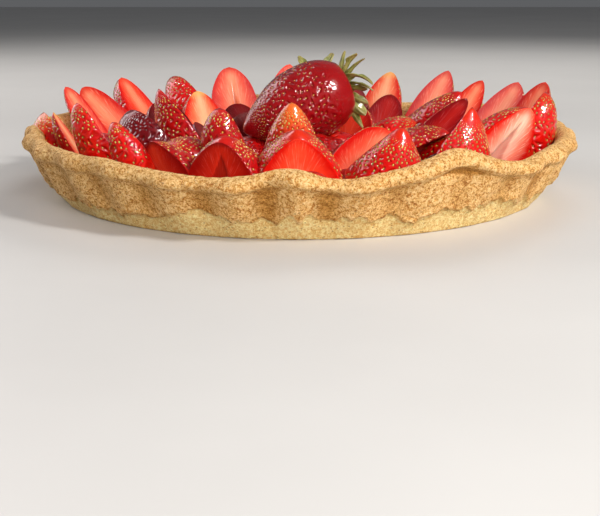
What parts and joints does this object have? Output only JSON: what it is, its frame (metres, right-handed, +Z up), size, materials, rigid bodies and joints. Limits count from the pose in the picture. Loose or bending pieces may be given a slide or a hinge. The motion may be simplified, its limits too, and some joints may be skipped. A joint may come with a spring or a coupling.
{
  "type": "strawberry tart",
  "caption": "Round glazed strawberry tart: a fluted golden shortcrust shell filled with upright cut strawberries that lean outwards, with whole leafy strawberries in the middle.",
  "frame": {"origin": "centre of the flat base, on the surface that the tart stands on", "axes": "+Z up, -Y towards the side shown to the camera, +X to the right of it"},
  "size_m": [0.2556, 0.2566, 0.0635],
  "materials": {
    "crust": "baked shortcrust, rough and crumbly, golden with browned hollows",
    "filling": "dark red fruit set in clear red jelly",
    "berry": "red strawberry under a clear wet glaze",
    "leaf": "olive green strawberry leaves, lightly glazed"
  },
  "bodies": {
    "root": {"crust": "crust", "filling": "filling", "inner_berry_01": "berry", "inner_berry_02": "berry", "inner_berry_03": "berry", "inner_berry_04": "berry", "inner_berry_05": "berry", "inner_berry_06": "berry", "inner_berry_07": "berry", "leaf_cap_back": "leaf", "leaf_cap_front": "leaf", "middle_berry_01": "berry", "middle_berry_02": "berry", "middle_berry_03": "berry", "middle_berry_04": "berry", "middle_berry_05": "berry", "middle_berry_06": "berry", "middle_berry_07": "berry", "middle_berry_08": "berry", "middle_berry_09": "berry", "middle_berry_10": "berry", "middle_berry_11": "berry", "middle_berry_12": "berry", "middle_berry_13": "berry", "middle_berry_14": "berry", "middle_berry_15": "berry", "middle_berry_16": "berry", "middle_berry_17": "berry", "outer_berry_01": "berry", "outer_berry_02": "berry", "outer_berry_03": "berry", "outer_berry_04": "berry", "outer_berry_05": "berry", "outer_berry_06": "berry", "outer_berry_07": "berry", "outer_berry_08": "berry", "outer_berry_09": "berry", "outer_berry_10": "berry", "outer_berry_11": "berry", "outer_berry_12": "berry", "outer_berry_13": "berry", "outer_berry_14": "berry", "outer_berry_15": "berry", "outer_berry_16": "berry", "outer_berry_17": "berry", "outer_berry_18": "berry", "outer_berry_19": "berry", "outer_berry_20": "berry", "outer_berry_21": "berry", "outer_berry_22": "berry", "outer_berry_23": "berry", "whole_berry_back": "berry", "whole_berry_front": "berry"}
  },
  "joints": []
}
